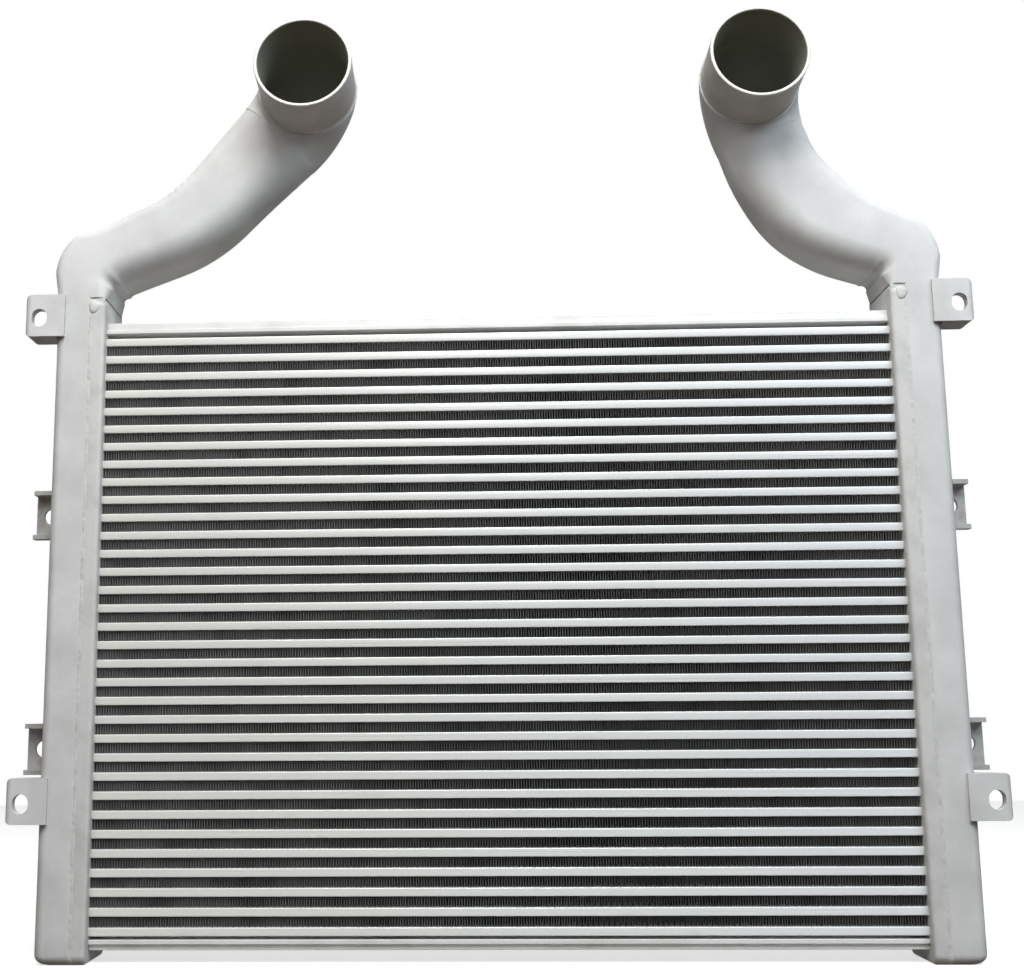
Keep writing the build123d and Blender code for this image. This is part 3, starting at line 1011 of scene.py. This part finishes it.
def makeTube(node):
    # the outer and inner outline of a flat tube carried along x, joined at both ends
    low, high = np.array(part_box(node), dtype=float)
    middle = (low + high) / 2
    half = (high - low) / 2
    x = np.linspace(low[0], high[0], coreTube["rows"])
    along = (x - low[0]) / (high[0] - low[0])
    bow = coreTube["sag"] * np.sin(np.pi * along) * np.sin(middle[2] * coreTube["sagPace"])
    centre = np.stack([x, np.full(len(x), middle[1]), middle[2] + bow], axis=1)
    up = np.tile([0.0, 0.0, 1.0], (len(x), 1))
    back = np.tile([0.0, 1.0, 0.0], (len(x), 1))
    skins = []
    for wall, nose in ((0, coreTube["nose"]), (coreTube["wall"], coreTube["innerNose"])):
        tall = np.full(len(x), half[2] - wall) - (0 if wall else coreTube["clear"])
        deep = np.full(len(x), half[1] - wall)
        radii = np.full((len(x), 4), nose)
        skins.append(roundedSections(centre, up, back, tall, deep, radii, coreTube["arc"]))
    rows, columns = skins[0].shape[:2]
    total = rows * columns
    quads = gridFaces(rows, columns, roundColumns=True)
    faces = [*quads, *(quads[:, ::-1] + total)]
    j = np.arange(columns)
    j2 = (j + 1) % columns
    for end in (0, (rows - 1) * columns):
        faces.extend(np.stack([end + j, end + j2, total + end + j2, total + end + j], axis=1))
    points = np.vstack([skin.reshape(-1, 3) for skin in skins])
    piece = makePiece(f"coreTube{node[-2:]}", points, faces, finishes["tube"], sharp=50)
    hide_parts(node)


for k in range(1, tubeCount + 1):
    makeTube(f"tube_{k:02d}")
print("tubes drawn:", tubeCount)


# ---- air fins

finStrip = {
    "pitch": 2.6 * mm,  # from one leg to the next
    "sheet": 0.34 * mm,
    "chevron": 3.0 * mm,  # how far the legs swing aside at half depth
    "lean": 0.18 * mm,  # how unevenly the legs stand
    "leanPace": (1.7, 2.3, 0.37),  # per leg, per strip, and per leg again for the slow change
}


def makeFins():
    # folded strips: upright legs joined by a fold over or under each two, carried back through the
    # core with a bend half way, so that one can't look straight through
    low, high = np.array(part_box("air_fins"), dtype=float)
    tubes = [np.array(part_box(f"tube_{k:02d}"), dtype=float) for k in range(1, tubeCount + 1)]
    half = finStrip["sheet"] / 2
    count = int((high[0] - low[0] - finStrip["chevron"]) / finStrip["pitch"])
    k = np.arange(count)
    strip = np.arange(tubeCount - 1)[:, None]
    top = np.array([tube[0, 2] for tube in tubes[:-1]])[:, None]
    bottom = np.array([tube[1, 2] for tube in tubes[1:]])[:, None]
    x = np.linspace(low[0] + half, high[0] - finStrip["chevron"] - half, count)[None, :]
    perLeg, perStrip, slow = finStrip["leanPace"]
    lean = finStrip["lean"] * np.sin(k * perLeg + strip * perStrip) * np.sin(k * slow + strip)
    x = x + lean * (k > 0) * (k < count - 1)
    depth = np.array([low[1], (low[1] + high[1]) / 2, high[1]])
    swing = np.array([0, finStrip["chevron"], 0])

    # legs: left and right side over three depths, low and high
    legX = x[..., None, None, None] + swing[:, None, None] + np.array([-half, half])[None, :, None]
    legZ = np.stack(np.broadcast_arrays(bottom, top, x)[:2], axis=-1)[:, :, None, None, :]
    legX, legY, legZ = np.broadcast_arrays(legX, depth[:, None, None], legZ)
    legs = np.stack([legX, legY, legZ], axis=-1)
    # numbered depth * 4 + side * 2 + height within a leg
    quads = [
        [d * 4 + s * 2 + h for d, h in ((r, 0), (r + 1, 0), (r + 1, 1), (r, 1))]
        for s in (0, 1)
        for r in (0, 1)
    ]
    quads += [[0, 2, 3, 1], [8, 10, 11, 9]]
    legFaces = np.arange(legs[..., 0].size // 12)[:, None, None] * 12 + np.array(quads)

    # folds: a strip under the tube above or over the tube below, with its front edge
    over = (k[:-1] + strip) % 2 == 0
    z0 = np.where(over, top, bottom)
    z1 = np.where(over, top - 2 * half, bottom + 2 * half)
    a, b = x[:, :-1] - half, x[:, 1:] + half
    foldX = np.stack([a, b, a, b, a + swing[1], b + swing[1], a, b], axis=-1)
    foldY = np.array([low[1], low[1], low[1], low[1], depth[1], depth[1], high[1], high[1]]) + 0 * foldX
    foldZ = np.stack([z0, z0, z1, z1, z1, z1, z1, z1], axis=-1)
    folds = np.stack([foldX, foldY, foldZ], axis=-1)
    foldFaces = np.arange(folds[..., 0].size // 8)[:, None, None] * 8 + np.array(
        [[0, 1, 3, 2], [2, 3, 5, 4], [4, 5, 7, 6]]
    )
    points = np.vstack([legs.reshape(-1, 3), folds.reshape(-1, 3)])
    faces = np.vstack([legFaces.reshape(-1, 4), foldFaces.reshape(-1, 4) + legs[..., 0].size])
    piece = makePiece("airFins", points, faces, finishes["fin"], sharp=20, merge=0)
    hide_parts("air_fins")
    print("fin triangles:", 2 * len(piece.data.polygons))


makeFins()


# ---- ears, brackets and plates with their edges eased, then the finishes of headers and turbulators

easedEdges = {
    "ear": {"width": 3.2 * mm, "segments": 5},
    "bracket": {"width": 1.0 * mm, "segments": 3},
    "plate": {"width": 0.7 * mm, "segments": 2},
}


def cadPiece(node):
    piece = frame["nodes"][node]
    return piece if hasattr(piece, "data") else bpy.data.objects[node]


def easeNode(node, kind, finish):
    # a copy of the node's mesh, merged, with a rounding on every sharp edge
    mesh = cadPiece(node).data.copy()
    mesh.name = node + "Eased"
    work = bmesh.new()
    work.from_mesh(mesh)
    bmesh.ops.remove_doubles(work, verts=work.verts, dist=1e-6)
    bmesh.ops.dissolve_limit(work, angle_limit=radians(1), verts=work.verts, edges=work.edges)
    bmesh.ops.recalc_face_normals(work, faces=work.faces)
    work.to_mesh(mesh)
    work.free()
    mesh.materials.clear()
    piece = showMesh(node + "Eased", mesh, finish, sharp=40)
    bevel = piece.modifiers.new("ease", "BEVEL")
    bevel.width = easedEdges[kind]["width"]
    bevel.segments = easedEdges[kind]["segments"]
    bevel.limit_method = "ANGLE"
    bevel.angle_limit = radians(40)
    bevel.harden_normals = True
    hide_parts(node)


for hand in sides:
    for level in ("upper", "lower"):
        easeNode(f"{level}_ear_{hand}", "ear", finishes["cast"])
        easeNode(f"{level}_bracket_{hand}", "bracket", finishes["bracket"])
for node in ("top_plate", "bottom_plate"):
    easeNode(node, "plate", finishes["plate"])
print("ears, brackets and plates eased")

for node, finish in (("header_left", "header"), ("header_right", "header"), ("turbulators", "tube")):
    for slot in cadPiece(node).material_slots:
        slot.material = finishes[finish]
print("headers dressed")


# ---- floor, world and lamps

studio = {
    "floorSize": 6.0,
    "floorPale": (0.94, 0.94, 0.94),
    "floorGlow": (0.64, 0.64, 0.64),
    "floorBounce": (0.040, 0.019, 0.007),
    "worldPale": (1.0, 1.0, 1.0),
    "ambient": 0.04,
    "lamps": [
        # name, place, size, power, colour
        ("overhead", (0.0, -1.25, 2.2), 1.2, 48.0, (1.0, 0.99, 0.965)),
        ("left", (-1.4, -1.6, 1.95), 1.2, 12.0, (1.0, 0.965, 0.91)),
        ("right", (1.4, -1.6, 1.95), 1.2, 30.0, (0.78, 0.90, 1.0)),
        ("front", (0.0, -2.1, 1.3), 0.4, 3.5, (0.94, 0.97, 1.0)),
    ],
    "aim": (0.0, 0.0, 0.45),
}


def makeFloor(look):
    half = look["floorSize"] / 2
    mesh = bpy.data.meshes.new("floor")
    corners = [(-half, -half, 0), (half, -half, 0), (half, half, 0), (-half, half, 0)]
    mesh.from_pydata(corners, [], [(0, 1, 2, 3)])
    finish = Finish("floorPale")
    seen = seenDirectly(finish.tree)
    finish.surface(
        **{
            "Base Color": finish.mix(seen, look["floorBounce"], look["floorPale"]),
            "Emission Color": finish.mix(seen, (0, 0, 0), look["floorGlow"]),
            "Emission Strength": 1.0,
            "Roughness": 0.9,
        }
    )
    mesh.materials.append(finish.material)
    floor = bpy.data.objects.new("floor", mesh)
    bpy.context.collection.objects.link(floor)


def makeWorld(look):
    world = bpy.data.worlds.new("studio")
    bpy.context.scene.world = world
    world.use_nodes = True
    tree = world.node_tree
    tree.nodes.clear()
    background = tree.nodes.new("ShaderNodeBackground")
    output = tree.nodes.new("ShaderNodeOutputWorld")
    background.inputs["Color"].default_value = (*look["worldPale"], 1)
    strength = seenDirectly(tree) * (1 - look["ambient"]) + look["ambient"]
    tree.links.new(strength.socket, background.inputs["Strength"])
    tree.links.new(background.outputs[0], output.inputs["Surface"])


def makeLamps(look):
    for name, place, size, power, colour in look["lamps"]:
        lamp = bpy.data.lights.new(name, "AREA")
        lamp.size = size
        lamp.energy = power
        lamp.color = colour
        holder = bpy.data.objects.new(name, lamp)
        holder.location = place
        way = np.array(look["aim"]) - np.array(place)
        pitch = np.arctan2(np.hypot(way[0], way[1]), -way[2])
        yaw = np.arctan2(way[1], way[0]) - np.pi / 2
        holder.rotation_euler = (pitch, 0, yaw)
        bpy.context.collection.objects.link(holder)


makeFloor(studio)
makeWorld(studio)
makeLamps(studio)
bpy.context.scene.view_settings.view_transform = "Standard"
print("studio lit")
